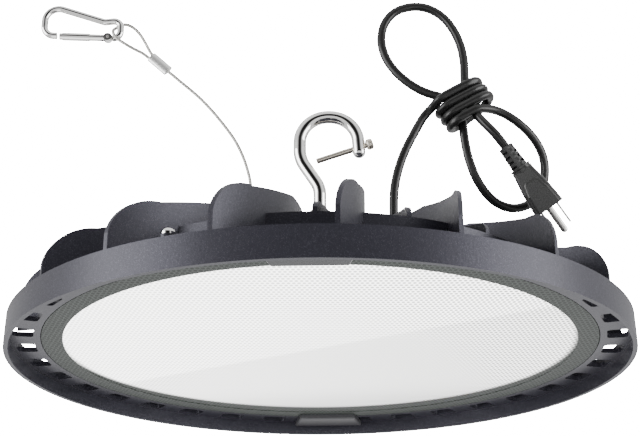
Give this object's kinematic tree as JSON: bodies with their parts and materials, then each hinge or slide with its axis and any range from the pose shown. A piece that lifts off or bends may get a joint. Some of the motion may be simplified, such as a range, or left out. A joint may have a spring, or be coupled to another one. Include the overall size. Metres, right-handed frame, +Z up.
{
  "type": "high bay light",
  "caption": "Round finned high bay light with a flat diffusing lens, a hanging hook with a closing screw, a safety wire with a snap hook, and a tied supply cord with a plug.",
  "frame": {"origin": "centre of the round ring's bottom rim, which is the bottom of the lamp", "axes": "+Z up along the lamp's own axis towards the hook; -Y the front; the hook and the snap hook lie in the XZ plane"},
  "size_m": [0.4012, 0.4, 0.273],
  "materials": {
    "casting": "dark powder coat",
    "lens": "opal prismatic",
    "seal": "matte",
    "steel": "satin",
    "chrome": "polished",
    "board": "white enamel",
    "chip": "phosphor",
    "driver": "satin",
    "block": "matte",
    "leads": "matte",
    "gland": "matte",
    "cord": "gloss",
    "plug": "satin",
    "wire": "stranded",
    "ferrule": "satin"
  },
  "bodies": {
    "lamp": {"heat_sink_housing": "casting", "lens": "lens", "lens_seal": "seal", "lens_clip_front": "casting", "lens_clip_rear": "casting", "board_screws": "chrome", "clip_screws": "steel", "cover_screws": "steel", "led_board": "board", "led_chips": "chip", "cover_seal": "seal", "driver_cover": "casting", "driver": "driver", "terminal_block": "block", "supply_leads": "leads", "hook": "chrome", "hook_washer": "chrome", "hook_nut": "chrome", "hook_lock_nut": "chrome", "gland_body": "gland", "gland_nut": "gland", "gland_seal": "seal", "gland_lock_nut": "gland", "power_cord_lead": "cord", "power_cord_upper_loop": "cord", "power_cord_lower_loop": "cord", "power_cord_tail": "cord", "cord_wrap": "cord", "plug_strain_relief": "plug", "plug_body": "plug", "plug_blades": "steel", "plug_earth_pin": "steel", "safety_wire": "wire", "safety_wire_loop": "wire", "wire_ferrule": "ferrule", "wire_socket": "chrome", "snap_hook_body": "chrome", "gate_pin": "steel"},
    "gate": {"snap_hook_gate": "chrome"},
    "closing_screw": {"hook_screw": "steel"}
  },
  "joints": [
    {"name": "snap_hook_gate_hinge", "type": "hinge", "parent": "lamp", "child": "gate", "pos_m": [-0.1524, 0, 0.2442], "axis": [0, 1, 0], "range_deg": [0, 25], "stiffness_Nm_per_rad": 0.05, "springref_deg": -17.19},
    {"name": "hook_screw_slide", "type": "slide", "parent": "lamp", "child": "closing_screw", "axis": [0.9426, 0, 0.3338], "range_m": [0, 0.022]}
  ]
}
